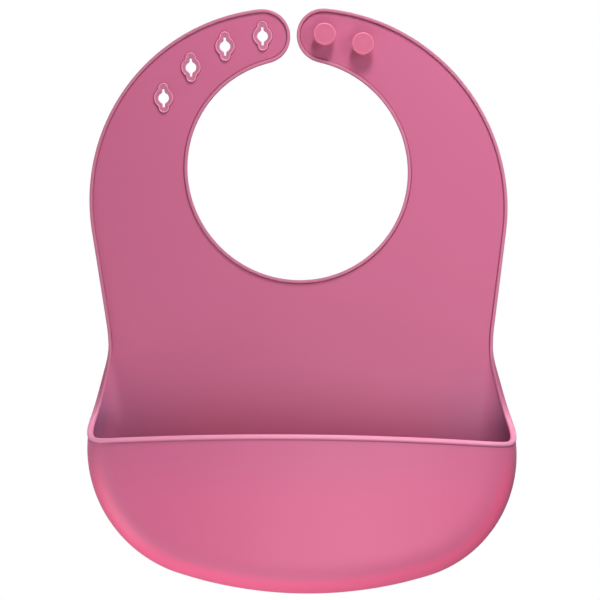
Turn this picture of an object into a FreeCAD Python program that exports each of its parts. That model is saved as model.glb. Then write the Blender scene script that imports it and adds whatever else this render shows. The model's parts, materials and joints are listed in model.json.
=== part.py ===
import FreeCAD, Part
import math
import os
import re
import Sketcher
from FreeCAD import Placement, Rotation, Vector

# A moulded silicone baby bib: a flat sheet with a C-shaped neck loop, whose two strap ends
# button together behind the neck, and a deep crumb pocket at its foot.
#
# Frame, in millimetres: the origin is the centre of the neck opening on the back face of the
# sheet. +X is the viewer's right, +Z is up, and the front faces -Y, so the sheet lies between
# y = 0 (against the chest) and y = -sheet_thickness.

SIZES = {
    # neck loop
    "neck_radius": 55.7,
    "tip_radius": 13.7,
    "tip_gap_half": 1.5,
    "outer_radius": 99.1,
    "outer_centre_x": 6.5,
    # sides, waist and foot of the sheet
    "waist_drop": 87.0,
    "waist_half_width": 97.2,
    "waist_radius": 50.6,
    "pocket_half_width": 106.8,
    "corner_radius": 63.0,
    "foot_radius": 216.0,
    "foot_drop": 210.5,
    # thicknesses
    "sheet_thickness": 1.8,
    "bead_width": 1.7,
    "bead_height": 0.9,
    # crumb pocket
    "pocket_depth": 45.0,
    "bulge_radius": 450.0,
    "pocket_edge_radius": 18.0,
    "rim_corner_drop": 136.2,
    "rim_corner_depth": 27.0,
    "rim_bow": 4.4,
    "rim_bead_height": 2.6,
    "rim_bead_stand": 0.8,
    # bend lines and the split of the pocket
    "strap_fold_height": 8.0,
    "strap_flex_half": 6.0,
    "tip_fold_angle": 37.0,
    "tip_flex_half": 4.0,
    "waist_flex_half": 6.0,
    "front_split_depth": 30.0,
    "pocket_hinge_depth": 3.0,
    "pocket_hinge_drop": 205.0,
    "pocket_hinge_radius": 28.0,
    "pocket_hinge_gap": 0.3,
    # eyelets and studs, spaced along the straps
    "first_angle": 13.0,
    "angle_step": 16.0,
    "first_ring_radius": 69.6,
    "ring_radius_step": 2.2,
    "eyelet_hole_radius": 2.7,
    "slit_length": 9.3,
    "slit_width": 1.0,
    "lip_radius": 4.9,
    "lip_end_radius": 2.6,
    "lip_neck_radius": 1.5,
    "lip_height": 0.95,
    "stud_stem_radius": 2.75,
    "stud_stem_length": 3.2,
    "stud_cap_radius": 5.3,
    "stud_cap_thickness": 3.2,
    "stud_cap_round": 1.2,
    # half the width of the room that holds the neckline's bead
    "neckline_half_width": 72.4,
    # how far the thicker bead's start runs below the waist's bend
    "edge_start_length": 12.0,
    # how far the construction blocks reach past the bib
    "reach": 300.0,
}

EYELETS = 4
STUDS = 2
ALIAS = re.compile(r"\b(" + "|".join(SIZES) + r")\b")
EVERYWHERE = ("-reach", "reach")
FLAT = 0.01  # an edge or gap smaller than this counts as flat or closed, in mm

# The points of a sketch's arcs and lines, and the sketch's own origin and vertical axis.
START, END, CENTRE = 1, 2, 3
ORIGIN, VERTICAL = -1, -2

doc = FreeCAD.newDocument("silicone_bib")
sheet = doc.addObject("Spreadsheet::Sheet", "Sizes")
for row, (alias, size) in enumerate(SIZES.items(), start=1):
    sheet.set(f"A{row}", alias.replace("_", " "))
    sheet.set(f"B{row}", str(size))
    sheet.setAlias(f"B{row}", alias)
doc.recompute()

subparts = []


def bind(item, path, formula):
    """Bind one property of item to a formula written with the sheet's aliases."""
    item.setExpression(path, ALIAS.sub(r"Sizes.\1", formula))


def place(item, x="0", y="0", z="0"):
    """Bind the position of item to three formulas."""
    for axis, formula in (("x", x), ("y", y), ("z", z)):
        bind(item, f"Placement.Base.{axis}", formula)


def subpart(item, label):
    """Name item as one finished sub-part of the bib."""
    item.Label = label
    subparts.append(item)
    return item


def combine(kind, name, *shapes):
    """The MultiCommon or MultiFuse of some shapes."""
    item = doc.addObject(f"Part::{kind}", name)
    item.Shapes = list(shapes)
    return item


def cut(name, base, tool):
    """What is left of base once tool is taken away."""
    item = doc.addObject("Part::Cut", name)
    item.Base = base
    item.Tool = tool
    return item


def block(name, x_span=EVERYWHERE, y_span=EVERYWHERE, z_span=EVERYWHERE, turn=None):
    """A box between two corners. With turn, its X and Z axes are turned about the neck's axis."""
    box = doc.addObject("Part::Box", name)
    for side, (low, high) in zip(("Length", "Width", "Height"), (x_span, y_span, z_span)):
        bind(box, side, f"({high}) - ({low})")
    x, y, z = x_span[0], y_span[0], z_span[0]
    if turn:
        box.Placement = Placement(Vector(), Rotation(Vector(0, 1, 0), 1))
        bind(box, "Placement.Rotation.Angle", turn)
        turned_x = f"({x}) * cos({turn}) + ({z}) * sin({turn})"
        turned_z = f"({z}) * cos({turn}) - ({x}) * sin({turn})"
        place(box, turned_x, y, turned_z)
    else:
        place(box, x, y, z)
    return box


def rod(name, radius, along, y="0", z="0", start="-reach", length="2 * reach"):
    """A cylinder along one axis, through the point (y, z) or starting at one height."""
    cylinder = doc.addObject("Part::Cylinder", name)
    bind(cylinder, "Radius", radius)
    bind(cylinder, "Height", length)
    if along == "X":
        cylinder.Placement = Placement(Vector(), Rotation(Vector(0, 1, 0), 90))
        place(cylinder, start, y, z)
    elif along == "-Y":
        cylinder.Placement = Placement(Vector(), Rotation(Vector(1, 0, 0), 90))
        place(cylinder, "0", start, z)
    else:
        place(cylinder, "0", y, start)
    return cylinder


def origin_plane(body, role):
    """One of the body's own origin planes."""
    return next(item for item in body.Origin.OriginFeatures if item.Role == role)


def signed_size(name):
    """The size behind a name that may have a minus sign, or 0 for "0" or an empty name."""
    if name in ("", "0"):
        return 0.0
    return -SIZES[name[1:]] if name.startswith("-") else SIZES[name]


def tangent_angle(gap, across, radius_sum):
    """The angle of the shared normal of two arcs that a straight crosses between."""
    distance = math.hypot(gap, across)
    return math.atan2(across, gap) + math.acos(radius_sum / distance)


def front_sketch(body, name):
    """An empty sketch on the body's front plane, drawn with X across and Z up."""
    sketch = body.newObject("Sketcher::SketchObject", name)
    sketch.AttachmentSupport = [(origin_plane(body, "XZ_Plane"), "")]
    sketch.MapMode = "FlatFace"
    return sketch


def arc(x, z, radius, start, end):
    """A circle's arc between two angles."""
    circle = Part.Circle(Vector(x, z, 0), Vector(0, 0, 1), radius)
    return Part.ArcOfCircle(circle, start, end)


def on_circle(x, z, radius, angle):
    """The point of a circle at one angle."""
    return Vector(x + radius * math.cos(angle), z + radius * math.sin(angle), 0)


def constrain(sketch, kind, *where):
    """Add one geometric constraint."""
    sketch.addConstraint(Sketcher.Constraint(kind, *where))


def measure(sketch, kind, value, formula, *where):
    """Add one dimension and bind it."""
    index = sketch.addConstraint(Sketcher.Constraint(kind, *where, value))
    bind(sketch, f"Constraints[{index}]", formula)


def outline_prism(name, inset):
    """The bib's whole front outline, drawn in by inset, as a prism in front of y = 0.

    The right half is a chain of tangent arcs and straights: neck circle, strap tip, outer arc,
    side, waist, flare, pocket corner and foot. All the arcs keep their centres as they are
    drawn in, so the chain stays tangent at every inset.
    """
    s = SIZES
    shift = signed_size(inset)
    tip_x = s["tip_gap_half"] + s["tip_radius"]
    tip_z = math.sqrt((s["neck_radius"] + s["tip_radius"]) ** 2 - tip_x ** 2)
    outer_x = s["outer_centre_x"]
    outer_z = tip_z - math.sqrt((s["outer_radius"] - s["tip_radius"]) ** 2 - (tip_x - outer_x) ** 2)
    waist_x = s["waist_half_width"] + s["waist_radius"]
    waist_z = -s["waist_drop"]
    corner_x = s["pocket_half_width"] - s["corner_radius"]
    foot_z = s["foot_radius"] - s["foot_drop"]
    corner_z = foot_z - math.sqrt((s["foot_radius"] - s["corner_radius"]) ** 2 - corner_x ** 2)

    neck_top = math.atan2(tip_z, tip_x)
    tip_top = math.atan2(tip_z - outer_z, tip_x - outer_x)
    side = tangent_angle(waist_x - outer_x, waist_z - outer_z, s["outer_radius"] + s["waist_radius"])
    flare = -tangent_angle(waist_x - corner_x, corner_z - waist_z, s["corner_radius"] + s["waist_radius"])
    foot = math.atan2(corner_z - foot_z, corner_x)
    right = math.pi / 2

    neck_r, tip_r = s["neck_radius"] + shift, s["tip_radius"] - shift
    outer_r, waist_r = s["outer_radius"] - shift, s["waist_radius"] + shift
    corner_r, foot_r = s["corner_radius"] - shift, s["foot_radius"] - shift
    side_top = on_circle(outer_x, outer_z, outer_r, side)
    side_foot = on_circle(waist_x, waist_z, waist_r, side + math.pi)
    flare_top = on_circle(waist_x, waist_z, waist_r, flare + math.pi)
    flare_foot = on_circle(corner_x, corner_z, corner_r, flare)

    body = doc.addObject("PartDesign::Body", name)
    sketch = front_sketch(body, f"{name}_sketch")
    neck_arc = sketch.addGeometry(arc(0, 0, neck_r, -right, neck_top), False)
    tip_arc = sketch.addGeometry(arc(tip_x, tip_z, tip_r, tip_top, neck_top + math.pi), False)
    outer_arc = sketch.addGeometry(arc(outer_x, outer_z, outer_r, side, tip_top), False)
    side_line = sketch.addGeometry(Part.LineSegment(side_top, side_foot), False)
    waist_ends = (side + math.pi, flare + math.pi)
    waist_arc = sketch.addGeometry(arc(waist_x, waist_z, waist_r, *waist_ends), False)
    flare_line = sketch.addGeometry(Part.LineSegment(flare_top, flare_foot), False)
    corner_arc = sketch.addGeometry(arc(corner_x, corner_z, corner_r, foot, flare), False)
    foot_arc = sketch.addGeometry(arc(0, foot_z, foot_r, -right, foot), False)
    middle_ends = (Vector(0, foot_z - foot_r, 0), Vector(0, -neck_r, 0))
    middle = sketch.addGeometry(Part.LineSegment(*middle_ends), False)

    for first, first_end, second, second_end in (
        (neck_arc, END, tip_arc, END),
        (tip_arc, START, outer_arc, END),
        (outer_arc, START, side_line, START),
        (side_line, END, waist_arc, START),
        (waist_arc, END, flare_line, START),
        (flare_line, END, corner_arc, END),
        (corner_arc, START, foot_arc, END),
    ):
        constrain(sketch, "Tangent", first, first_end, second, second_end)
    constrain(sketch, "Coincident", foot_arc, START, middle, START)
    constrain(sketch, "Coincident", middle, END, neck_arc, START)
    constrain(sketch, "PointOnObject", middle, START, VERTICAL)
    constrain(sketch, "PointOnObject", middle, END, VERTICAL)
    constrain(sketch, "Coincident", neck_arc, CENTRE, ORIGIN, START)
    constrain(sketch, "PointOnObject", foot_arc, CENTRE, VERTICAL)

    drawn_in = f" - ({inset})" if inset else ""
    drawn_out = f" + ({inset})" if inset else ""
    waist_centre = "waist_half_width + waist_radius"
    corner_centre = "pocket_half_width - corner_radius"
    from_origin = (ORIGIN, START)
    measure(sketch, "Radius", neck_r, "neck_radius" + drawn_out, neck_arc)
    measure(sketch, "Radius", tip_r, "tip_radius" + drawn_in, tip_arc)
    measure(sketch, "Radius", outer_r, "outer_radius" + drawn_in, outer_arc)
    measure(sketch, "Radius", waist_r, "waist_radius" + drawn_out, waist_arc)
    measure(sketch, "Radius", corner_r, "corner_radius" + drawn_in, corner_arc)
    measure(sketch, "Radius", foot_r, "foot_radius" + drawn_in, foot_arc)
    measure(sketch, "DistanceX", tip_x, "tip_gap_half + tip_radius", *from_origin, tip_arc, CENTRE)
    measure(sketch, "DistanceX", outer_x, "outer_centre_x", *from_origin, outer_arc, CENTRE)
    measure(sketch, "DistanceX", waist_x, waist_centre, *from_origin, waist_arc, CENTRE)
    measure(sketch, "DistanceY", -waist_z, "waist_drop", waist_arc, CENTRE, *from_origin)
    measure(sketch, "DistanceX", corner_x, corner_centre, *from_origin, corner_arc, CENTRE)
    measure(sketch, "DistanceY", foot_z, "foot_radius - foot_drop", *from_origin, foot_arc, CENTRE)

    pad = body.newObject("PartDesign::Pad", f"{name}_pad")
    pad.Profile = sketch
    bind(pad, "Length", "pocket_depth * 2")
    mirror = body.newObject("PartDesign::Mirrored", f"{name}_mirror")
    mirror.Originals = [pad]
    mirror.MirrorPlane = (origin_plane(body, "YZ_Plane"), [""])
    body.Tip = mirror
    return body


def round_front(name, base, radius):
    """Round the edge where the walls of a pocket block meet its bulging front."""
    doc.recompute()
    top = -SIZES["waist_drop"]
    behind = -SIZES["pocket_edge_radius"]
    edges = []
    for index, edge in enumerate(base.Shape.Edges, start=1):
        extent = edge.BoundBox
        in_top_plane = extent.ZMin > top - FLAT
        along_the_depth = extent.YLength > SIZES["pocket_edge_radius"]
        if extent.YMax < behind and not in_top_plane and not along_the_depth:
            edges.append((index, radius, radius))
    rounded = doc.addObject("Part::Fillet", name)
    rounded.Base = base
    rounded.Edges = edges
    return rounded


def pocket_block(name, outline, wall, back):
    """A solid pocket, drawn in by the wall, that starts at the depth given by back."""
    room = block(f"{name}_room", y_span=("-reach", back), z_span=("-reach", "-waist_drop"))
    bulge = rod(f"{name}_bulge", f"bulge_radius - ({wall})", "Z", y="bulge_radius - pocket_depth")
    blank = combine("MultiCommon", f"{name}_blank", outline, room, bulge)
    return round_front(name, blank, SIZES["pocket_edge_radius"] - signed_size(wall))


def mouth_cutter(name, drop):
    """All that lies above the pocket's mouth, or above a line lower than it by drop.

    From the waist the edge sweeps forward in one arc to the rim's corner, and the rim then
    bows up a little towards its middle.
    """
    rise = "(rim_corner_drop - waist_drop)"
    sweep = f"(({rise}^2 + rim_corner_depth^2) / (2 * rim_corner_depth))"
    bow = "((pocket_half_width^2 + rim_bow^2) / (2 * rim_bow))"
    swept = rod(f"{name}_sweep", f"{sweep} + {drop}", "X", y=f"-{sweep}", z="-waist_drop")
    behind = block(f"{name}_behind", y_span=("-rim_corner_depth", "reach"))
    side = combine("MultiCommon", f"{name}_side", swept, behind)
    ahead_y, ahead_z = ("-reach", "-rim_corner_depth"), ("-foot_drop", "reach")
    ahead = block(f"{name}_ahead", y_span=ahead_y, z_span=ahead_z)
    under_z = f"rim_bow - rim_corner_drop - {bow}"
    under = rod(f"{name}_under", f"{bow} - {drop}", "-Y", z=under_z, start="reach")
    front = cut(f"{name}_front", ahead, under)
    return combine("MultiFuse", name, side, front)


def lip_prism():
    """The raised lip of an eyelet: a round middle with a small lobe above and below it."""
    s = SIZES
    middle_r, end_r, neck_r = s["lip_radius"], s["lip_end_radius"], s["lip_neck_radius"]
    neck_z = ((middle_r + neck_r) ** 2 - (end_r + neck_r) ** 2 + middle_r ** 2) / (2 * middle_r)
    neck_x = math.sqrt((middle_r + neck_r) ** 2 - neck_z ** 2)
    middle_turn = math.atan2(neck_z, neck_x)
    end_turn = math.atan2(neck_z - middle_r, neck_x)

    body = doc.addObject("PartDesign::Body", "lip_prism")
    sketch = front_sketch(body, "lip_sketch")
    right, neck_1, top, neck_2, left, neck_3, bottom, neck_4 = (
        sketch.addGeometry(piece, False)
        for piece in (
            arc(0, 0, middle_r, -middle_turn, middle_turn),
            arc(neck_x, neck_z, neck_r, end_turn + math.pi, middle_turn + math.pi),
            arc(0, middle_r, end_r, end_turn, math.pi - end_turn),
            arc(-neck_x, neck_z, neck_r, -middle_turn, -end_turn),
            arc(0, 0, middle_r, math.pi - middle_turn, math.pi + middle_turn),
            arc(-neck_x, -neck_z, neck_r, end_turn, middle_turn),
            arc(0, -middle_r, end_r, math.pi + end_turn, 2 * math.pi - end_turn),
            arc(neck_x, -neck_z, neck_r, math.pi - middle_turn, math.pi - end_turn),
        )
    )
    for first, first_end, second, second_end in (
        (right, END, neck_1, END),
        (neck_1, START, top, START),
        (top, END, neck_2, END),
        (neck_2, START, left, START),
        (left, END, neck_3, END),
        (neck_3, START, bottom, START),
        (bottom, END, neck_4, END),
        (neck_4, START, right, START),
    ):
        constrain(sketch, "Tangent", first, first_end, second, second_end)
    for middle in (right, left):
        constrain(sketch, "Coincident", middle, CENTRE, ORIGIN, START)
    for lobe in (top, bottom):
        constrain(sketch, "PointOnObject", lobe, CENTRE, VERTICAL)
        measure(sketch, "Radius", end_r, "lip_end_radius", lobe)
    for neck in (neck_1, neck_2, neck_3, neck_4):
        measure(sketch, "Radius", neck_r, "lip_neck_radius", neck)
    measure(sketch, "Radius", middle_r, "lip_radius", right)
    measure(sketch, "DistanceY", middle_r, "lip_radius", ORIGIN, START, top, CENTRE)
    measure(sketch, "DistanceY", middle_r, "lip_radius", bottom, CENTRE, ORIGIN, START)

    pad = body.newObject("PartDesign::Pad", "lip_pad")
    pad.Profile = sketch
    bind(pad, "Length", "lip_height")
    return body


def strap_spot(index, side):
    """Formulas for where an eyelet or stud sits: index 0 is nearest the strap's tip."""
    angle = f"(first_angle + {index} * angle_step)"
    radius = f"(first_ring_radius + {index} * ring_radius_step)"
    return f"{side} * {radius} * sin({angle})", f"{radius} * cos({angle})"


# ---- the flat sheet and the fine bead along its edge --------------------------------------

outline = outline_prism("outline", "")
outline_in = outline_prism("outline_in", "bead_width")
sheet_slab = block("sheet_slab", y_span=("-sheet_thickness", "0"))
bead_slab = block("bead_slab", y_span=("-sheet_thickness - bead_height", "-sheet_thickness"))
whole_sheet = combine("MultiCommon", "whole_sheet", outline, sheet_slab)
bead_blank = combine("MultiCommon", "bead_blank", outline, bead_slab)
bead_ring = cut("bead_ring", bead_blank, outline_in)

# ---- keyhole eyelets through the left strap ------------------------------------------------

hole = rod("eyelet_hole", "eyelet_hole_radius", "-Y", start="reach")
slit = block(
    "eyelet_slit",
    x_span=("-slit_width / 2", "slit_width / 2"),
    z_span=("-slit_length / 2", "slit_length / 2"),
)
keyhole = combine("MultiFuse", "keyhole", hole, slit)
lip_blank = lip_prism()
keyholes = []
for index in range(EYELETS):
    spot_x, spot_z = strap_spot(index, "-1")
    placed = combine("MultiFuse", f"keyhole_{index + 1}", hole, slit)
    place(placed, spot_x, "0", spot_z)
    keyholes.append(placed)
    lip = cut(f"eyelet_lip_{index + 1}", lip_blank, keyhole)
    place(lip, spot_x, "-sheet_thickness", spot_z)
    subpart(lip, f"eyelet_lip_{index + 1}")
all_keyholes = combine("MultiFuse", "all_keyholes", *keyholes)
pierced_sheet = cut("pierced_sheet", whole_sheet, all_keyholes)
beaded_sheet = combine("MultiFuse", "beaded_sheet", pierced_sheet, bead_ring)

# ---- chest, waist bend and lower panel -----------------------------------------------------

chest_span = ("waist_flex_half - waist_drop", "strap_fold_height - strap_flex_half")
waist_span = ("-waist_drop - waist_flex_half", "-waist_drop + waist_flex_half")
chest_room = block("chest_room", z_span=chest_span)
subpart(combine("MultiCommon", "chest_panel", pierced_sheet, chest_room), "chest_panel")
for name, x_span in (
    ("chest_left_bead", ("-reach", "-neckline_half_width")),
    ("neckline_bead", ("-neckline_half_width", "neckline_half_width")),
    ("chest_right_bead", ("neckline_half_width", "reach")),
):
    room = block(f"{name}_room", x_span=x_span, z_span=chest_span)
    subpart(combine("MultiCommon", name, bead_ring, room), name)

waist_room = block("waist_room", z_span=waist_span)
subpart(combine("MultiCommon", "waist_flex", beaded_sheet, waist_room), "waist_flex")
lower_room = block("lower_room", z_span=("-reach", "-waist_drop - waist_flex_half"))
subpart(combine("MultiCommon", "lower_panel", pierced_sheet, lower_room), "lower_panel")

# ---- straps, strap bends and strap tips ----------------------------------------------------

strap_top = ("strap_fold_height + strap_flex_half", "reach")
strap_flex_span = ("strap_fold_height - strap_flex_half", "strap_fold_height + strap_flex_half")
across_bend = ("-tip_flex_half", "tip_flex_half")
outward = ("0", "reach")
for side, turn, x_span, away, towards_tip in (
    ("left", "-tip_fold_angle", ("-reach", "0"), ("-reach", "-tip_flex_half"), ("tip_flex_half", "reach")),
    ("right", "tip_fold_angle", ("0", "reach"), ("tip_flex_half", "reach"), ("-reach", "-tip_flex_half")),
):
    half = block(f"{side}_half", x_span=x_span, z_span=strap_top)
    strap_room = block(f"{side}_strap_room", x_span=away, z_span=outward, turn=turn)
    bend_room = block(f"{side}_bend_room", x_span=across_bend, z_span=outward, turn=turn)
    tip_room = block(f"{side}_tip_room", x_span=towards_tip, z_span=outward, turn=turn)
    fold_room = block(f"{side}_fold_room", x_span=x_span, z_span=strap_flex_span)
    for name, source, rooms in (
        ("strap_flex", beaded_sheet, [fold_room]),
        ("strap_panel", pierced_sheet, [half, strap_room]),
        ("strap_bead", bead_ring, [half, strap_room]),
        ("tip_flex", beaded_sheet, [half, bend_room]),
        ("tip_panel", pierced_sheet, [half, tip_room]),
        ("tip_bead", bead_ring, [half, tip_room]),
    ):
        subpart(combine("MultiCommon", f"{side}_{name}", source, *rooms), f"{side}_{name}")

# ---- studs on the right strap's tip --------------------------------------------------------

stem = rod("stud_stem", "stud_stem_radius", "-Y", start="0", length="stud_stem_length")
cap_span = {"start": "-stud_stem_length", "length": "stud_cap_thickness"}
cap_blank = rod("stud_cap_blank", "stud_cap_radius", "-Y", **cap_span)
doc.recompute()
cap = doc.addObject("Part::Fillet", "stud_cap")
cap.Base = cap_blank
cap.Edges = [
    (index, SIZES["stud_cap_round"], SIZES["stud_cap_round"])
    for index, edge in enumerate(cap_blank.Shape.Edges, start=1)
    if edge.BoundBox.YLength < FLAT
]
for index in range(STUDS):
    spot_x, spot_z = strap_spot(index, "1")
    stud = combine("MultiFuse", f"stud_{index + 1}", stem, cap)
    place(stud, spot_x, "-sheet_thickness", spot_z)
    subpart(stud, f"stud_{index + 1}")

# ---- crumb pocket: side gussets, base, front wall and the bead round its mouth --------------

outline_wall = outline_prism("outline_wall", "sheet_thickness")
outline_proud = outline_prism("outline_proud", "-rim_bead_stand")
pocket_outer = pocket_block("pocket_outer", outline, "0", "0")
pocket_inner = pocket_block("pocket_inner", outline_wall, "sheet_thickness", "sheet_thickness")
pocket_proud = pocket_block("pocket_proud", outline_proud, "-rim_bead_stand", "0")
mouth = mouth_cutter("mouth", "0")
mouth_low = mouth_cutter("mouth_low", "rim_bead_height")

wall_room = block("wall_room", y_span=("-reach", "-sheet_thickness"))
pocket_shell = cut("pocket_shell", pocket_outer, pocket_inner)
pocket_sides = combine("MultiCommon", "pocket_sides", pocket_shell, wall_room)
pocket_walls = cut("pocket_walls", pocket_sides, mouth_low)
proud_shell = cut("proud_shell", pocket_proud, pocket_inner)
rim_low = combine("MultiCommon", "rim_low", proud_shell, wall_room, mouth_low)
rim = cut("rim", rim_low, mouth)

hinge_line = {"y": "-pocket_hinge_depth", "z": "-pocket_hinge_drop"}
hinge_rod = rod("hinge_rod", "pocket_hinge_radius", "X", **hinge_line)
hinge_rod_gap = rod("hinge_rod_gap", "pocket_hinge_radius + pocket_hinge_gap", "X", **hinge_line)
subpart(combine("MultiCommon", "pocket_base", pocket_walls, hinge_rod), "pocket_base")
front_room = block("front_room", y_span=("-reach", "-front_split_depth"))
front_blank = combine("MultiCommon", "front_blank", pocket_walls, front_room)
subpart(cut("pocket_front", front_blank, hinge_rod_gap), "pocket_front")
subpart(combine("MultiCommon", "pocket_rim_bead", rim, front_room), "pocket_rim_bead")

edge_top = "-waist_drop - waist_flex_half"
edge_top_span = (f"{edge_top} - edge_start_length", edge_top)
for side, x_span in (("left", ("-reach", "0")), ("right", ("0", "reach"))):
    gusset_room = block(f"{side}_gusset_room", x_span=x_span, y_span=("-front_split_depth", "0"))
    gusset_blank = combine("MultiCommon", f"{side}_gusset_blank", pocket_walls, gusset_room)
    subpart(cut(f"{side}_gusset", gusset_blank, hinge_rod), f"{side}_gusset")
    edge_room = block(f"{side}_edge_room", x_span=x_span, z_span=edge_top_span)
    edge_start = combine("MultiCommon", f"{side}_edge_start", bead_ring, edge_room)
    edge_sweep = combine("MultiCommon", f"{side}_edge_sweep", rim, gusset_room)
    subpart(combine("MultiFuse", f"{side}_gusset_bead", edge_start, edge_sweep), f"{side}_gusset_bead")

# ---- check and write ------------------------------------------------------------------------

doc.recompute()
for item in doc.Objects:
    if {"Invalid", "Error"} & set(item.State):
        raise SystemExit(f"{item.Name} failed: {item.State}")
for item in subparts:
    if item.Shape.isNull() or not item.Shape.isValid() or not item.Shape.Solids:
        raise SystemExit(f"{item.Label} has no valid solid")

os.makedirs("parts", exist_ok=True)
for item in subparts:
    item.Shape.exportStep(f"parts/{item.Label}.step")
    print(f"{item.Label}: {len(item.Shape.Solids)} solids, {item.Shape.Volume:.1f} mm3")
print(f"{len(subparts)} sub-parts")
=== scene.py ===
import json
import math

import bmesh
import bpy
import numpy as np
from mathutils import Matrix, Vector
from mathutils.geometry import delaunay_2d_cdt


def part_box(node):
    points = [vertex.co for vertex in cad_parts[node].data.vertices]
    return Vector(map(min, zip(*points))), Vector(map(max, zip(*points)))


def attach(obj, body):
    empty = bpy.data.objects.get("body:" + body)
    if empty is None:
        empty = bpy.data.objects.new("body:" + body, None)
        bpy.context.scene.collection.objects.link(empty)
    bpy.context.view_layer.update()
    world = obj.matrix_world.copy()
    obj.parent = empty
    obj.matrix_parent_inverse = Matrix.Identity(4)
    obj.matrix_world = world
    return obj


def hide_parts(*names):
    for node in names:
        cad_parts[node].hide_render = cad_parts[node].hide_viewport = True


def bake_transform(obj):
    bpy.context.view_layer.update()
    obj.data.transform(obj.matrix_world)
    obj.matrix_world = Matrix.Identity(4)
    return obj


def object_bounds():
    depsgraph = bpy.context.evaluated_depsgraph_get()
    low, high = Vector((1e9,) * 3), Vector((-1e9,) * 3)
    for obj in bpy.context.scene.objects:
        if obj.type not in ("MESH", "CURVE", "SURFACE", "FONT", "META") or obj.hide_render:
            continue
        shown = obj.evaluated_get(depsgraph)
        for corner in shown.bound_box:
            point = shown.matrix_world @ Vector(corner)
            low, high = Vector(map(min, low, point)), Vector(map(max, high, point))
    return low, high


# A silicone bib: one closed slab that runs from the neck loop into the scoop pocket, the bead that
# follows its whole edge, the eyelets' lips and the studs. Shapes are worked out in millimetres in
# the CAD frame (X right, Z up, the front faces -Y) and scaled to metres when a mesh is made.

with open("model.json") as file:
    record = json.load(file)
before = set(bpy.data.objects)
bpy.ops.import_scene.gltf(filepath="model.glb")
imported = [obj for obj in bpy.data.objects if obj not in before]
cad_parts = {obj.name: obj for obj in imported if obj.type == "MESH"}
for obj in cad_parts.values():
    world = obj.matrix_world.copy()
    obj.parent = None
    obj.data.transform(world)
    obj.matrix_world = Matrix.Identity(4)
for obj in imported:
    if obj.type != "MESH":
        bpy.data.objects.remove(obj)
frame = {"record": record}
cad_box = [list(corner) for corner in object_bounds()]
MM = 0.001


def span(node, axis):
    """Lowest and highest coordinate of a CAD node along one axis, in millimetres."""
    low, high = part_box(node)
    return low[axis] / MM, high[axis] / MM


def mount(name):
    """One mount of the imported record."""
    return next(m for m in frame["record"]["mounts"] if m["name"] == name)


# ---- sizes ---------------------------------------------------------------------------------

# the outline's arcs: neck, round strap tip, outer side, hollow waist, pocket corner and foot
NECK_R = mount("neck_opening")["dims"]["r_mm"]
TIP_R = 13.7
TIP_GAP = 1.5
OUTER_R = 99.1
OUTER_X = 6.5
WAIST_Z = -87.0
WAIST_X = 97.2
WAIST_R = 50.6
POCKET_X = 106.8
CORNER_R = 63.0
FOOT_R = 216.0
FOOT_Z = span("lower_panel", 2)[0]
SHEET = -span("chest_panel", 1)[0]

# the scoop: its bulging front wall, its round front and back corners, and its rim
DEPTH = -span("pocket_front", 1)[0]
BULGE_R = 450.0
FRONT_R = 18.0
BACK_R = 16.0
BACK_TOP_R = 8.0
BACK_GROWS_Z = (-90.0, -122.0)
RIM_Z = -136.2
RIM_DEPTH = 27.0
RIM_BOW = 4.4
RIM_SOFT = 2.5
RIM_SOFTENS = (4, 20)
SWEEP_R = ((RIM_Z - WAIST_Z) ** 2 + RIM_DEPTH ** 2) / (2 * RIM_DEPTH)
HANDLE = 0.56  # a curve handle's share of the radius for a round bend

# the sheet's edge lies this far inside the outline, under the bead, and meets it lower down
EDGE_IN = 0.5
EDGE_MEETS_Z = (-88.0, -108.0)

# the bead's section, fine and at the rim: its inner and outer sides, its faces on the sheet's
# outside and inside, and the radius of its corners
FINE_BEAD = (-1.15, 0.5, -0.01, 2.75, 0.5)
RIM_BEAD = (-1.8, 0.6, -0.75, 2.4, 1.05)
FILLET = 0.42
# how bright the fine bead's painted highlight is beside the rim's
FINE_PAINTED_HIGHLIGHT = 0.56  # how bright the fine bead's crest is beside the rim's
HEAVY_DEPTHS = (2, 18)
BEAD_STEP = 1.3

# what the grids of points cover, in X and up to which height, and along the strap for the curl
SPAN_X = 110
WAIST_SPAN_X = 100
TOP_Z = 90
CURL_SPAN = (50, 100)

# mesh steps, how far inner points stay apart and off the borders, and when points are the same
STEP = 2.0
FLAT_STEP = 3.0
BEND_STEP = 1.8
CURL_STEP = 1.5
APART = 1.3
FLAT_CLEAR = 0.9
CLEAR = 1.2
RIM_CLEAR = 0.7
WELD = 0.004
INSIDE_WITH_HOLES = 2
SECTION_SCALE = 25.0
SECTION_STEPS = 61
RIM_STEPS = 90
DEEPEST = 45.0

# where the sheet bends, and half of how far each bend reaches
TIP_ANGLE = math.radians(37.0)
FOLD_Z = 8.0
FOLD_HALF = 6.0
CURL_HALF = 4.0
WAIST_HALF = 6.0
FLEX_DEPTHS = (5, 29)  # how far forward the pocket starts to flex, and does so fully
CUT_MARGIN = 0.4

# the bib hangs askew: sideways per 100 mm of height and more at both ends, and turned a little
SWAY, SWAY_CURL, SWAY_Z, SWAY_SOFT = 2.2, 1.05, -20.0, 0.3
TILT, TILT_Z, TILT_REACH = 0.011, -45.0, 70.0

# an eyelet's hole with the half width and half height of its slit, and the lip round it
HOLE_R = mount("eyelet_1")["dims"]["r_mm"]
SLIT_HALF = (0.5, 4.45)
FLARE_POWER = 3.5
CROWDING = 0.42  # how far the hole's points crowd towards the slit's ends
LIP_R, LIP_END_R, LIP_NECK_R, LIP_H = 4.9, 2.6, 1.5, 0.95
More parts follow.
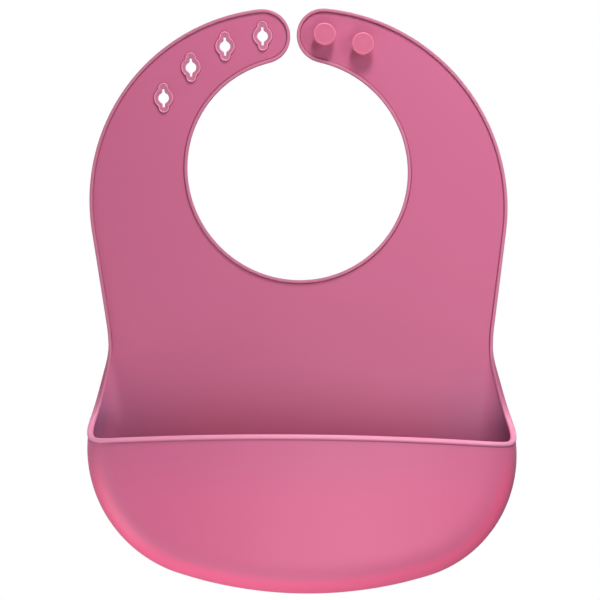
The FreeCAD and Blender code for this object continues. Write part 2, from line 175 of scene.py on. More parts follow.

# profiles over the sheet: growth of the loop (or the stud's radius), y, and painted light, from painted
# shade at 0 in creases to a painted highlight at 1 on crests
LIP_OUTER = [
    (0.4, 0.03, 0.0), (0.15, -0.1, 0.1), (0.02, -0.3, 0.3), (-0.02, -0.65, 0.7), (-0.14, -0.87, 0.95),
    (-0.32, -LIP_H, 1.0), (-0.5, -0.9, 0.85), (-0.7, -0.72, 0.5), (-1.0, -0.66, 0.5),
]
LIP_INNER = [
    (0.45, -0.66, 0.5), (0.2, -0.62, 0.6), (0.06, -0.5, 0.75), (0.0, -0.3, 0.5), (0.0, 0.03, 0.4),
]
# the stud's third column: painted shade at its foot and under its cap, and a painted highlight on the
# cap's raised rim
STUD = [
    (4.1, 0.03, 0.0), (3.5, -0.1, 0.1), (3.1, -0.35, 0.3), (2.85, -0.8, 0.4), (2.75, -1.4, 0.4),
    (2.75, -2.5, 0.4), (2.85, -2.85, 0.3), (3.2, -3.1, 0.2), (3.9, -3.2, 0.3), (4.7, -3.28, 0.5),
    (5.3, -3.45, 0.6), (5.6, -3.75, 0.6), (5.72, -4.2, 0.6), (5.74, -5.0, 0.6), (5.71, -5.5, 0.7),
    (5.62, -5.9, 0.9), (5.46, -6.2, 1.0), (5.2, -6.36, 1.0), (4.95, -6.36, 0.8), (4.7, -6.3, 0.66),
    (4.3, -6.27, 0.66), (3.0, -6.27, 0.66), (1.6, -6.3, 0.68), (0.5, -6.32, 0.68),
]
STUD_SIDES = 72


# ---- the outline: a chain of tangent arcs and straights, right half -------------------------

def shared_normal(across, up, radii):
    """Direction of the normal that two arcs share with the straight that crosses between them."""
    return math.atan2(up, across) + math.acos(radii / math.hypot(across, up))


TIP_C = (TIP_GAP + TIP_R, math.sqrt((NECK_R + TIP_R) ** 2 - (TIP_GAP + TIP_R) ** 2))
OUTER_C = (OUTER_X, TIP_C[1] - math.sqrt((OUTER_R - TIP_R) ** 2 - (TIP_C[0] - OUTER_X) ** 2))
WAIST_C = (WAIST_X + WAIST_R, WAIST_Z)
FOOT_C = (0.0, FOOT_Z + FOOT_R)
CORNER_C = (
    POCKET_X - CORNER_R,
    FOOT_C[1] - math.sqrt((FOOT_R - CORNER_R) ** 2 - (POCKET_X - CORNER_R) ** 2),
)
NECK_TOP = math.atan2(TIP_C[1], TIP_C[0])
TIP_TOP = math.atan2(TIP_C[1] - OUTER_C[1], TIP_C[0] - OUTER_C[0])
SIDE = shared_normal(WAIST_C[0] - OUTER_C[0], WAIST_C[1] - OUTER_C[1], OUTER_R + WAIST_R)
FLARE = -shared_normal(WAIST_C[0] - CORNER_C[0], CORNER_C[1] - WAIST_C[1], CORNER_R + WAIST_R)
FOOT_TURN = math.atan2(CORNER_C[1] - FOOT_C[1], CORNER_C[0])


def arc(centre, radius, start, end, outward=1, inset=0.0, step=STEP):
    """Points and outward normals along an arc; outward is -1 where the bib lies outside it."""
    count = max(3, int(abs(end - start) * radius / step) + 1)
    turn = np.linspace(start, end, count)
    unit = np.stack([np.cos(turn), np.sin(turn)], 1)
    return np.array(centre) + unit * (radius - outward * inset), unit * outward


def straight(first, last, normal, step=STEP):
    """Points between two ends, without the ends."""
    count = max(2, int(np.linalg.norm(last - first) / step))
    share = np.linspace(0, 1, count + 1)[1:-1, None]
    return first + (last - first) * share, np.repeat(normal[None], count - 1, 0)


def join(*runs):
    """Several runs of points and normals as one, without doubled points."""
    points = np.concatenate([r[0] for r in runs])
    normals = np.concatenate([r[1] for r in runs])
    keep = np.concatenate([[True], np.linalg.norm(np.diff(points, axis=0), axis=1) > 1e-4])
    return points[keep], normals[keep]


def flat_edge(inset):
    """The free edge of the flat sheet, from the right waist over both straps to the left waist."""
    waist = arc(WAIST_C, WAIST_R, math.pi, SIDE + math.pi, -1, inset)
    outer = arc(OUTER_C, OUTER_R, SIDE, TIP_TOP, 1, inset)
    tip = arc(TIP_C, TIP_R, TIP_TOP, NECK_TOP + math.pi, 1, inset, 1.0)
    neck = arc((0, 0), NECK_R, NECK_TOP, -math.pi / 2, -1, inset)
    side = straight(waist[0][-1], outer[0][0], outer[1][0])
    points, normals = join(waist, side, outer, tip, neck)
    mirrored = points[::-1] * (-1, 1), normals[::-1] * (-1, 1)
    return join((points, normals), mirrored)


def foot_run():
    """The outline below the waist, from the left waist round the foot to the right waist."""
    foot = arc(FOOT_C, FOOT_R, -math.pi / 2, FOOT_TURN)
    corner = arc(CORNER_C, CORNER_R, FOOT_TURN, FLARE)
    waist = arc(WAIST_C, WAIST_R, FLARE + math.pi, math.pi, -1)
    side = straight(corner[0][-1], waist[0][0], corner[1][-1])
    points, normals = join(foot, corner, side, waist)
    mirrored = points[::-1] * (-1, 1), normals[::-1] * (-1, 1)
    return join(mirrored, (points, normals))


FOOT_POINTS, FOOT_NORMALS = foot_run()
FOOT_U = np.concatenate([[0], np.cumsum(np.linalg.norm(np.diff(FOOT_POINTS, axis=0), axis=1))])


def outline_at(u):
    """Outline point and outward normal at a distance u from the left waist."""
    point = np.stack([np.interp(u, FOOT_U, FOOT_POINTS[:, i]) for i in (0, 1)], -1)
    normal = np.stack([np.interp(u, FOOT_U, FOOT_NORMALS[:, i]) for i in (0, 1)], -1)
    return point, normal / np.linalg.norm(normal, axis=-1, keepdims=True)


# ---- the scoop: cross-sections square to the outline ----------------------------------------

def smooth(low, high, value):
    """0 below low, 1 above high, and a smooth step between."""
    share = np.clip((value - low) / (high - low), 0, 1)
    return share * share * (3 - 2 * share)


def front_depth(x):
    """How far forward the outside of the pocket's front wall is."""
    return DEPTH - BULGE_R + np.sqrt(BULGE_R ** 2 - x ** 2)


def rim_height(x):
    """Height of the rim, which bows up a little towards its middle."""
    return RIM_Z + RIM_BOW * (1 - (x / POCKET_X) ** 2)


def mouth_height(x, depth):
    """Height of the mouth's edge: a sweep forward from the waist that runs into the rim."""
    sweep = WAIST_Z - np.sqrt(np.maximum(SWEEP_R ** 2 - (SWEEP_R - depth) ** 2, 0))
    rim = rim_height(x)
    softness = RIM_SOFT ** 2 * smooth(*RIM_SOFTENS, depth)
    return (sweep + rim + np.sqrt((sweep - rim) ** 2 + softness)) / 2


SIDE_DEPTHS = np.linspace(0, SWEEP_R * 0.9, 400)
SIDE_HEIGHTS = mouth_height(POCKET_X, SIDE_DEPTHS)


def edge_depth(z):
    """How far forward the gusset's free edge is at one height."""
    return np.interp(-z, -SIDE_HEIGHTS, SIDE_DEPTHS)


def back_radius(z):
    """Radius of the scoop's back corner, which grows from the waist down."""
    return BACK_TOP_R + (BACK_R - BACK_TOP_R) * smooth(*BACK_GROWS_Z, z)


def section(u, v):
    """The scoop's outside at u along the outline and v across the section.

    v runs round the back corner to 1, along the wall to 2 and round the front to 3.
    """
    u, v = np.broadcast_arrays(np.asarray(u, float), np.asarray(v, float))
    point, normal = outline_at(u)
    z = point[..., 1]
    radius = back_radius(z)
    full_turn = np.arccos(np.clip(1 - edge_depth(z) / radius, 0, 1))
    turn = full_turn * np.clip(v, 0, 1)
    edge_inset = EDGE_IN * (1 - smooth(*EDGE_MEETS_Z, z))
    inset = edge_inset + radius * (np.sin(full_turn) - np.sin(turn))
    depth = radius * (1 - np.cos(turn))

    end_x = point[..., 0] - normal[..., 0] * FRONT_R
    end_depth = front_depth(end_x)
    slope = normal[..., 0] * end_x / BULGE_R
    wall_depth = end_depth - FRONT_R
    depth = depth + (wall_depth - radius) * np.clip(v - 1, 0, 1)

    bend = np.clip(v - 2, 0, 1)
    handle = FRONT_R * HANDLE
    weights = [(1 - bend) ** 3, 3 * bend * (1 - bend) ** 2, 3 * bend ** 2 * (1 - bend), bend ** 3]
    insets = [0, 0, FRONT_R - handle, FRONT_R]
    depths = [wall_depth, wall_depth + handle, end_depth - handle * slope, end_depth]
    bent = v > 2
    inset = np.where(bent, sum(w * i for w, i in zip(weights, insets)), inset)
    depth = np.where(bent, sum(w * d for w, d in zip(weights, depths)), depth)
    flat = point - normal * inset[..., None]
    return np.stack([flat[..., 0], -depth, flat[..., 1]], -1)


def section_normal(u, v):
    """Unit normal of the scoop's outside, pointing out of the pocket."""
    nudge = 1e-3
    u, v = np.broadcast_arrays(np.asarray(u, float), np.asarray(v, float))
    ahead = np.minimum(v + nudge, np.where(v <= 1, 1, 3))
    along = section(u + nudge, v) - section(u - nudge, v)
    across = section(u, ahead) - section(u, np.maximum(v - nudge, 0))
    normal = np.cross(along, across)
    size = np.linalg.norm(normal, axis=-1, keepdims=True)
    return np.where(size > 1e-9, normal / np.maximum(size, 1e-12), (0.0, 1.0, 0.0))


def front_normal(points):
    """Unit normal of the outside of the pocket's front wall."""
    x = points[:, 0]
    slope = x / np.sqrt(BULGE_R ** 2 - x ** 2)
    normal = np.stack([slope, -np.ones_like(x), np.zeros_like(x)], 1)
    return normal / np.linalg.norm(normal, axis=1, keepdims=True)


def bisect(low, high, above):
    """Where above(value) turns from False to True, elementwise."""
    for _ in range(40):
        middle = (low + high) / 2
        beyond = above(middle)
        low, high = np.where(beyond, low, middle), np.where(beyond, middle, high)
    return (low + high) / 2


def left_mouth():
    """The mouth's left edge in the scoop's (u, v), from the waist over the corner to the front wall."""
    middle = FOOT_U[-1] / 2
    near = np.linspace(0, BACK_R, 14) ** 2 / BACK_R
    depths = np.concatenate([near, np.linspace(BACK_R, DEEPEST, 40)[1:]])

    def depth_miss(u, depth):
        return outline_at(u)[0][..., 1] < mouth_height(-POCKET_X, depth)

    def height_miss(u, v):
        place = section(u, v)
        return place[..., 2] < mouth_height(place[..., 0], -place[..., 1])

    path = []
    for depth in depths:
        u = bisect(0.0, middle, lambda w: depth_miss(w, depth))
        radius = back_radius(outline_at(u)[0][1])
        wall = -section(u, 2.0)[1]
        if depth < radius:
            path.append((float(u), 1.0))
        elif depth < wall:
            path.append((float(u), 1 + float((depth - radius) / (wall - radius))))
    for v in np.linspace(2, 3, 12):
        path.append((float(bisect(0.0, middle, lambda w: height_miss(w, v))), float(v)))
    return np.array(path)


# ---- triangulated patches -------------------------------------------------------------------

def triangulate(loops, inside, metric=(1.0, 1.0)):
    """Triangles that fill closed loops, with holes after the first loop, using the inside points."""
    points = [tuple(p * metric) for loop in loops for p in loop]
    edges = []
    start = 0
    for loop in loops:
        edges += [(start + i, start + (i + 1) % len(loop)) for i in range(len(loop))]
        start += len(loop)
    points += [tuple(p * metric) for p in inside]
    made = delaunay_2d_cdt([Vector(p) for p in points], edges, [], INSIDE_WITH_HOLES, 1e-5)
    verts = np.array([tuple(p) for p in made[0]]) / metric
    return verts, [tuple(f) for f in made[2]]


def in_loops(points, loops, clear):
    """Which points lie inside the first loop, outside the others and clear of them all."""
    keep = np.ones(len(points), bool)
    for number, loop in enumerate(loops):
        nxt = np.roll(loop, -1, 0)
        crossings = np.zeros(len(points), int)
        nearest = np.full(len(points), np.inf)
        for a, b in zip(loop, nxt):
            spans = (a[1] > points[:, 1]) != (b[1] > points[:, 1])
            with np.errstate(divide="ignore", invalid="ignore"):
                at = a[0] + (points[:, 1] - a[1]) / (b[1] - a[1]) * (b[0] - a[0])
            crossings += spans & (points[:, 0] < at)
            d = b - a
            share = np.clip(((points - a) @ d) / max(d @ d, 1e-12), 0, 1)[:, None]
            nearest = np.minimum(nearest, np.linalg.norm(points - a - share * d, axis=1))
        keep &= ((crossings % 2) == (1 if number == 0 else 0)) & (nearest > clear)
    return keep


def trim(verts, faces, loops):
    """Only the triangles whose middles lie inside the loops."""
    middles = np.array([verts[list(f)].mean(0) for f in faces])
    keep = in_loops(middles, loops, 0.0)
    return [f for f, k in zip(faces, keep) if k]


def grid(low, high, step):
    """A staggered grid of points over a rectangle."""
    rows = []
    for number, z in enumerate(np.arange(low[1], high[1], step)):
        x = np.arange(low[0] + (step / 2 if number % 2 else 0), high[0], step)
        rows.append(np.stack([x, np.full_like(x, z)], 1))
    return np.concatenate(rows)


def eyelet_spots():
    """Centres of the four eyelets, the one nearest the strap's tip first."""
    return [np.array(mount(f"eyelet_{i}")["pos_m"])[[0, 2]] / MM for i in (1, 2, 3, 4)]


def keyhole_loop(grow=0.0, count=96):
    """A round hole that flares into a slit above and below it, grown by some distance."""
    turn = np.linspace(0, 2 * math.pi, count, endpoint=False)
    turn = turn + CROWDING * np.sin(2 * turn)
    half_width, half_height = SLIT_HALF[0] + grow, SLIT_HALF[1] + grow
    across, up = np.maximum(np.abs(np.cos(turn)), 1e-6), np.maximum(np.abs(np.sin(turn)), 1e-6)
    slit = np.minimum(half_width / across, half_height / up)
    reach = ((HOLE_R + grow) ** FLARE_POWER + slit ** FLARE_POWER) ** (1 / FLARE_POWER)
    return np.stack([reach * np.cos(turn), reach * np.sin(turn)], 1)


def bend_rows():
    """Extra points where the sheet bends: across the waist and across each strap."""
    rows = [
        grid((-reach, z - half - 1), (reach, z + half + 1), BEND_STEP)
        for reach, z, half in ((WAIST_SPAN_X, WAIST_Z, WAIST_HALF), (SPAN_X, FOLD_Z, FOLD_HALF))
    ]
    strip = grid((-CURL_HALF - 1, CURL_SPAN[0]), (CURL_HALF + 1, CURL_SPAN[1]), CURL_STEP)
    for side in (-1, 1):
        c, s = math.cos(TIP_ANGLE), side * math.sin(TIP_ANGLE)
        turned = strip[:, 0] * c + strip[:, 1] * s, -strip[:, 0] * s + strip[:, 1] * c
        rows.append(np.stack(turned, 1))
    return rows


def thin(points, distance):
    """Points no two of which are nearer than distance: the first come stay."""
    cells = {}
    kept = []
    for p in points:
        cell = (int(p[0] // distance), int(p[1] // distance))
        around = [(cell[0] + i, cell[1] + j) for i in (-1, 0, 1) for j in (-1, 0, 1)]
        near = [q for place in around for q in cells.get(place, [])]
        if all((p[0] - q[0]) ** 2 + (p[1] - q[1]) ** 2 > distance ** 2 for q in near):
            cells.setdefault(cell, []).append(p)
            kept.append(p)
    return np.array(kept)


def outside_surface():
    """The bib's whole outside, back and front of pocket, as points, unit normals and triangles."""
    mouth = left_mouth()
    total = FOOT_U[-1]
    ends_u = mouth[-1][0], total - mouth[-1][0]
    between = FOOT_U[(FOOT_U > ends_u[0] + RIM_CLEAR) & (FOOT_U < ends_u[1] - RIM_CLEAR)]
    front_u = np.concatenate([[ends_u[0]], between, [ends_u[1]]])

    # the flat sheet, down to where the scoop's back corner starts
    edge, _ = flat_edge(EDGE_IN)
    low = section(FOOT_U, 0.0)[:, [0, 2]]
    border = np.concatenate([edge, low[1:-1]])
    holes = [keyhole_loop() + spot for spot in eyelet_spots()]
    fine = [p for r in bend_rows() for p in r]
    spread = list(grid((-SPAN_X, FOOT_Z), (SPAN_X, TOP_Z), FLAT_STEP))
    inside = thin(np.array(fine + spread), APART)
    inside = inside[in_loops(inside, [border, *holes], FLAT_CLEAR)]
    verts, faces = triangulate([border, *holes], inside)
    faces = trim(verts, faces, [border, *holes])
    flat = np.stack([verts[:, 0], np.zeros(len(verts)), verts[:, 1]], 1)
    patches = [(flat, np.tile((0.0, 1.0, 0.0), (len(flat), 1)), faces)]

    # the scoop's corners and walls, below the mouth's edge
    metric = np.array([1.0, SECTION_SCALE])
    border = np.concatenate([
        np.stack([FOOT_U, np.zeros_like(FOOT_U)], 1)[::-1],
        mouth[1:],
        np.stack([front_u, np.full_like(front_u, 3.0)], 1)[1:-1],
        (mouth * (-1, 1) + (total, 0))[::-1][:-1],
    ])
    columns = []
    section_v = np.linspace(0, 3, SECTION_STEPS)
    for u in FOOT_U[1:-1]:
        line = section(u, section_v)
        length = np.concatenate([[0], np.cumsum(np.linalg.norm(np.diff(line, axis=0), axis=1))])
        count = max(2, int(length[-1] / STEP))
        v = np.interp(np.linspace(0, length[-1], count + 1)[1:-1], length, section_v)
        columns.append(np.stack([np.full_like(v, u), v], 1))
    inside = np.concatenate(columns)
    inside = inside[in_loops(inside * metric, [border * metric], CLEAR)]
    verts, faces = triangulate([border], inside, metric)
    faces = trim(verts * metric, faces, [border * metric])
    u, v = verts.T
    patches.append((section(u, v), section_normal(u, v), faces))

    # the front wall, from the rim down to where its round edge starts
    foot = section(front_u, 3.0)[:, [0, 2]]
    across = np.linspace(foot[-1][0], foot[0][0], RIM_STEPS)[1:-1]
    rim = np.stack([across, mouth_height(across, front_depth(across))], 1)
    border = np.concatenate([foot, rim])
    inside = grid((-POCKET_X, FOOT_Z), (POCKET_X, RIM_Z + RIM_BOW), FLAT_STEP)
    inside = inside[in_loops(inside, [border], CLEAR)]
    verts, faces = triangulate([border], inside)
    faces = trim(verts, faces, [border])
    front = np.stack([verts[:, 0], -front_depth(verts[:, 0]), verts[:, 1]], 1)
    patches.append((front, front_normal(front), faces))

    # the line of the free edge: points and outward normals of the surface
    flat_line = np.stack([edge[:, 0], np.zeros(len(edge)), edge[:, 1]], 1)
    flat_n = np.tile((0.0, 1.0, 0.0), (len(edge), 1))
    left, left_n = section(*mouth.T), section_normal(*mouth.T)
    rim_line = np.stack([rim[::-1, 0], -front_depth(rim[::-1, 0]), rim[::-1, 1]], 1)
    right, right_n = left[::-1] * (-1, 1, 1), left_n[::-1] * (-1, 1, 1)
    line = np.concatenate([flat_line, left[1:], rim_line, right[:-1]])
    line_n = np.concatenate([flat_n, left_n[1:], front_normal(rim_line), right_n[:-1]])
    return patches, line, line_n


def weld(patches):
    """One set of points, normals and triangles from patches that share their borders."""
    places, points, normals, faces = {}, [], [], []

    def index(place, normal):
        key = tuple(np.round(place / WELD).astype(int))
        if key not in places:
            places[key] = len(points)
            points.append(place)
            normals.append(normal)
        return places[key]

    for verts, verts_n, triangles in patches:
        used = [index(p, n) for p, n in zip(verts, verts_n)]
        for triangle in triangles:
            a, b, c = (used[i] for i in triangle)
            if len({a, b, c}) < 3:
                continue
            facing = np.cross(points[b] - points[a], points[c] - points[a])
            outward = normals[a] + normals[b] + normals[c]
            faces.append((a, b, c) if facing @ outward > 0 else (a, c, b))
    return np.array(points), np.array(normals), faces


# ---- meshes and pieces ----------------------------------------------------------------------

def new_object(name, data):
    """A new object in the scene."""
    item = bpy.data.objects.new(name, data)
    bpy.context.scene.collection.objects.link(item)
    return item


def to_bmesh(verts, faces):
    """A bmesh, in metres, from points in millimetres."""
    bm = bmesh.new()
    made = [bm.verts.new(Vector(v) * MM) for v in verts]
    for face in faces:
        bm.faces.new([made[i] for i in face])
    return bm


def with_painted_light(bm, painted_lights):
    """The bmesh with an attribute of painted light per point, from painted shade at 0 in creases to a
    painted highlight at 1 on crests.
    """
    layer = bm.verts.layers.float.new("painted_light")
    for vert, painted_light in zip(bm.verts, painted_lights):
        vert[layer] = painted_light
    return bm


def lean(point):
    """Where a point of the soft bib is once it hangs askew: moved sideways with height and turned."""
    height = (point.z / MM - SWAY_Z) / 100
    sideways = -SWAY * height - SWAY_CURL * (math.hypot(height, SWAY_SOFT) - SWAY_SOFT)
    turned = TILT * point.x * math.tanh((point.z / MM - TILT_Z) / TILT_REACH)
    return Vector((point.x + sideways * MM, point.y, point.z + turned))


def finished(name, bm, crease=35.0):
    """The object made of a closed bmesh: leaning a little, smooth, with its real edges left sharp."""
    for vert in bm.verts:
        vert.co = lean(vert.co)
    bmesh.ops.recalc_face_normals(bm, faces=bm.faces)
    for face in bm.faces:
        face.smooth = True
    for edge in bm.edges:
        edge.smooth = edge.calc_face_angle(0) < math.radians(crease)
    mesh = bpy.data.meshes.new(name)
    bm.to_mesh(mesh)
    bm.free()
    return new_object(name, mesh)


def slab(points, normals, faces):
    """The closed sheet of even thickness behind an outside surface."""
    count = len(points)
    inside = points - normals * SHEET
    sides = {}
    for face in faces:
        for a, b in zip(face, face[1:] + face[:1]):
            sides[(a, b)] = True
    walls = [(b, a, a + count, b + count) for a, b in sides if (b, a) not in sides]
    back = [tuple(i + count for i in face[::-1]) for face in faces]
    return to_bmesh(np.concatenate([points, inside]), [*faces, *back, *walls])


def resample(line, line_n, step):
    """A closed line with even steps, and its normals."""
    closed = np.concatenate([line, line[:1]])
    closed_n = np.concatenate([line_n, line_n[:1]])
    length = np.concatenate([[0], np.cumsum(np.linalg.norm(np.diff(closed, axis=0), axis=1))])
    at = np.linspace(0, length[-1], int(length[-1] / step), endpoint=False)
    points = np.stack([np.interp(at, length, closed[:, i]) for i in range(3)], 1)
    normals = np.stack([np.interp(at, length, closed_n[:, i]) for i in range(3)], 1)
    return points, normals


def ring_faces(loops, size, closed=False):
    """Quads between neighbouring loops of one size; closed joins the last loop to the first."""
    starts = [(i * size, (i + 1) % loops * size) for i in range(loops if closed else loops - 1)]
    return [
        (a + j, a + (j + 1) % size, b + (j + 1) % size, b + j) for a, b in starts for j in range(size)
    ]


def soften(values, rounds):
    """A closed run of values, evened out a little."""
    for _ in range(rounds):
        values = (np.roll(values, 1, 0) + 2 * values + np.roll(values, -1, 0)) / 4
    return values


def bead_ring(share):
    """The bead's section, fine at 0 to the rim's at 1, as (across, depth, painted light) points.

    Across is outward in the sheet's plane; depth is from the sheet's outside towards its inside. The
    painted light gives the crest a painted highlight and the crease on the sheet's inside painted shade.
    """
    sizes = np.array(FINE_BEAD) * (1 - share) + np.array(RIM_BEAD) * share
    inner, outer, outside, inside, radius = sizes
    foot = inner - FILLET

    def corner(a, b, first, last, start, end):
        part = np.linspace(0, 1, 5)
        turn = np.radians(first + (last - first) * part)
        tone = start + (end - start) * part
        return list(zip(a + radius * np.cos(turn), b + radius * np.sin(turn), tone))

    def foot_point(fine, rim, painted_light):
        return (*(np.array(fine) * (1 - share) + np.array(rim) * share), painted_light)

    # painted light on the bead's outer edge and on its face on the sheet's outside, brighter on the rim's
    # bead
    edge_tone, outside_tone = 0.5 + 0.5 * share, 0.8 + 0.2 * share
    ring = corner(outer - radius, inside - radius, 0, 90, edge_tone, 1.0)
    ring += corner(inner + radius, inside - radius, 90, 170 - 36 * share, 1.0, 0.4)
    # the crease on the sheet's inside, in painted shade, and the way through the sheet to its outside
    ring += [(inner - 0.08, SHEET + 0.25, 0.12), (foot, SHEET + 0.03, 0.0), (foot, SHEET - 0.15, 0.0)]
    ring.append(foot_point((inner + 0.2, 1.1), (foot, 0.2), 0.0))
    ring.append(foot_point((inner + 0.12, 0.85), (foot, -0.03), 0.0))
    ring.append(foot_point((inner + 0.05, 0.6), (inner - 0.08, -0.25), 0.12))
    ring += corner(inner + radius, outside + radius, 190 + 30 * share, 270, 0.4, outside_tone)
    ring += corner(outer - radius, outside + radius, 270, 360, outside_tone, edge_tone)
    # the fine bead's painted highlight is dimmer than the rim's
    painted_highlight_scale = FINE_PAINTED_HIGHLIGHT + (1 - FINE_PAINTED_HIGHLIGHT) * share
    return [(across, depth, painted_light * painted_highlight_scale) for across, depth, painted_light in ring]


def bead(line, line_n):
    """The closed bead along the free edge: fine on the flat sheet and thicker round the pocket."""
    points, normals = resample(line, line_n, BEAD_STEP)
    points, normals = soften(points, 3), soften(normals, 3)
    along = np.roll(points, -1, 0) - np.roll(points, 1, 0)
    along /= np.linalg.norm(along, axis=1, keepdims=True)
    normals -= along * (normals * along).sum(1, keepdims=True)
    normals /= np.linalg.norm(normals, axis=1, keepdims=True)
    out = np.cross(along, normals)
    top = points[:, 2].argmax()
    if out[top, 2] < 0:
        out = -out
    heavy = smooth(*HEAVY_DEPTHS, -points[:, 1]) * (points[:, 2] < WAIST_Z)
    rings, painted_lights = [], []
    for place, normal, away, share in zip(points, normals, out, heavy):
        for across, depth, painted_light in bead_ring(share):
            rings.append(place + away * across - normal * depth)
            painted_lights.append(painted_light)
    faces = ring_faces(len(points), len(rings) // len(points), closed=True)
    return with_painted_light(to_bmesh(rings, faces), painted_lights)


def carve(bm, keep):
    """A closed part of a closed bmesh: what lies on the positive side of every plane in keep."""
    part = bm.copy()
    for place, normal in keep:
        geometry = part.verts[:] + part.edges[:] + part.faces[:]
        cut = bmesh.ops.bisect_plane(
            part, geom=geometry, dist=1e-7,
            plane_co=Vector(place) * MM, plane_no=normal, clear_inner=True,
        )
        rim = [e for e in cut["geom_cut"] if isinstance(e, bmesh.types.BMEdge) and e.is_boundary]
        if rim:
            bmesh.ops.triangle_fill(part, edges=rim, use_beauty=True, use_dissolve=False)
    return part


def regions():
    """For each stretch: its planes, its two bodies, the blend's ends, and the sheet's and bead's nodes."""
    waist = ((0, 0, WAIST_Z - WAIST_HALF - CUT_MARGIN), (0, 0, 1))
    shoulder = (0, 0, FOLD_Z - FOLD_HALF - CUT_MARGIN)
    below, above = (0, 0, -1), (0, 0, 1)
    made = {
        "chest": (
            [waist, (shoulder, below)], ("chest", "lower"),
            [(0, 0, WAIST_Z + WAIST_HALF), (0, 0, WAIST_Z - WAIST_HALF)],
            ["chest_panel", "waist_flex"], ["chest_left_bead", "chest_right_bead", "neckline_bead"],
        ),
        "scoop": (
            [(waist[0], below)], ("lower", "pocket_wall"),
            [(0, -FLEX_DEPTHS[0], WAIST_Z), (0, -FLEX_DEPTHS[1], WAIST_Z)],
            ["lower_panel", "pocket_base", "left_gusset", "right_gusset", "pocket_front"],
            ["left_gusset_bead", "right_gusset_bead", "pocket_rim_bead"],
        ),
    }
    for side, sign in (("left", -1), ("right", 1)):
        towards_tip = Vector((-sign * math.cos(TIP_ANGLE), 0, math.sin(TIP_ANGLE)))
        own_side = ((0, 0, 0), (sign, 0, 0))
        bend = towards_tip * -(CURL_HALF + CUT_MARGIN)
        made[f"{side}_strap"] = (
            [(shoulder, above), own_side, (bend, -towards_tip)], ("chest", f"{side}_strap"),
            [(0, 0, FOLD_Z - FOLD_HALF), (0, 0, FOLD_Z + FOLD_HALF)],
            [f"{side}_strap_panel", f"{side}_strap_flex"], [f"{side}_strap_bead"],
        )
        made[f"{side}_tip"] = (
            [(shoulder, above), own_side, (bend, towards_tip)], (f"{side}_strap", f"{side}_tip"),
            [towards_tip * -CURL_HALF, towards_tip * CURL_HALF],
            [f"{side}_tip_panel", f"{side}_tip_flex"], [f"{side}_tip_bead"],
        )
    return made


def place_piece(item, nodes, material):
    """Give a piece its material and let it stand for its nodes."""
    item.data.materials.append(material)
    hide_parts(*nodes)
    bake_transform(item)


def lobed_loop(grow=0.0):
    """The lip's outline: a round middle with a small lobe above and below, grown by some distance."""
    neck_z = ((LIP_R + LIP_NECK_R) ** 2 - (LIP_END_R + LIP_NECK_R) ** 2 + LIP_R ** 2) / (2 * LIP_R)
    neck_x = math.sqrt((LIP_R + LIP_NECK_R) ** 2 - neck_z ** 2)
    middle_turn, end_turn = math.atan2(neck_z, neck_x), math.atan2(neck_z - LIP_R, neck_x)

    def run(x, z, radius, first, last, count):
        turn = np.linspace(first, last, count)
        return np.stack([x + radius * np.cos(turn), z + radius * np.sin(turn)], 1)

    quarter = np.concatenate([
        run(0, 0, LIP_R + grow, 0, middle_turn, 8)[:-1],
        run(neck_x, neck_z, LIP_NECK_R - grow, middle_turn + math.pi, end_turn + math.pi, 6)[:-1],
        run(0, LIP_R, LIP_END_R + grow, end_turn, math.pi / 2, 13),
    ])
    upper = np.concatenate([quarter, (quarter * (-1, 1))[::-1][1:]])
    return np.concatenate([upper, (upper * (1, -1))[::-1][1:-1]])


def lip(index, spot):
    """The raised lip round one eyelet, with rounded edges, as a closed ring."""
    outer_loops = [(lobed_loop(grow), y, painted_light) for grow, y, painted_light in LIP_OUTER]
    inner_loops = [(keyhole_loop(grow), y, painted_light) for grow, y, painted_light in LIP_INNER]
    verts, faces, painted_lights = [], [], []

    def add(loops):
        """Bridge a stack of loops and return the numbers of its first and last loop."""
        size, start = len(loops[0][0]), len(verts)
        for loop, y, painted_light in loops:
            verts.extend((x + spot[0], y - SHEET, z + spot[1]) for x, z in loop)
            painted_lights.extend([painted_light] * size)
        faces.extend(tuple(start + i for i in quad) for quad in ring_faces(len(loops), size))
        return range(start, start + size), range(len(verts) - size, len(verts))

    outer_base, outer_top = add(outer_loops)
    inner_top, inner_base = add(inner_loops)
    for around, hole in ((outer_top, inner_top), (outer_base, inner_base)):
        flat = [np.array([(verts[i][0], verts[i][2]) for i in ids]) for ids in (around, hole)]
        numbers = [*around, *hole]
        made, triangles = triangulate(flat, np.zeros((0, 2)))
        triangles = trim(made, triangles, flat)
        faces.extend(tuple(numbers[i] for i in t) for t in triangles)
    return finished(f"eyelet_lip_{index}_shell", with_painted_light(to_bmesh(verts, faces), painted_lights), 50)


def stud(index, spot):
    """A mushroom stud: a flared stem and a round cap with a soft bevel."""
    turn = np.linspace(0, 2 * math.pi, STUD_SIDES, endpoint=False)
    verts = [
        (spot[0] + radius * math.cos(a), -SHEET + y, spot[1] + radius * math.sin(a))
        for radius, y, _ in STUD for a in turn
    ]
    painted_lights = [painted_light for _, _, painted_light in STUD for _ in turn]
    faces = ring_faces(len(STUD), STUD_SIDES)
    faces.append(tuple(range(STUD_SIDES)))
    faces.append(tuple(range(len(verts) - STUD_SIDES, len(verts))))
    return finished(f"stud_{index}_shell", with_painted_light(to_bmesh(verts, faces), painted_lights), 60)


# ---- materials ------------------------------------------------------------------------------

PINK = (0.70, 0.17, 0.32)
# the bead's and the lips' colour in their creases, painted shade
BEAD_SHADE_PINK = (0.34, 0.06, 0.13)
# the stud's colour at its foot and under its cap, painted shade
STUD_SHADE_PINK = (0.40, 0.07, 0.14)
# a painted glow on the pocket's outside and painted shade in its inside
SHEET_TONES = [("painted_glow", (1.0, 0.15, 0.32)), ("painted_shade", (0.46, 0.17, 0.32))]
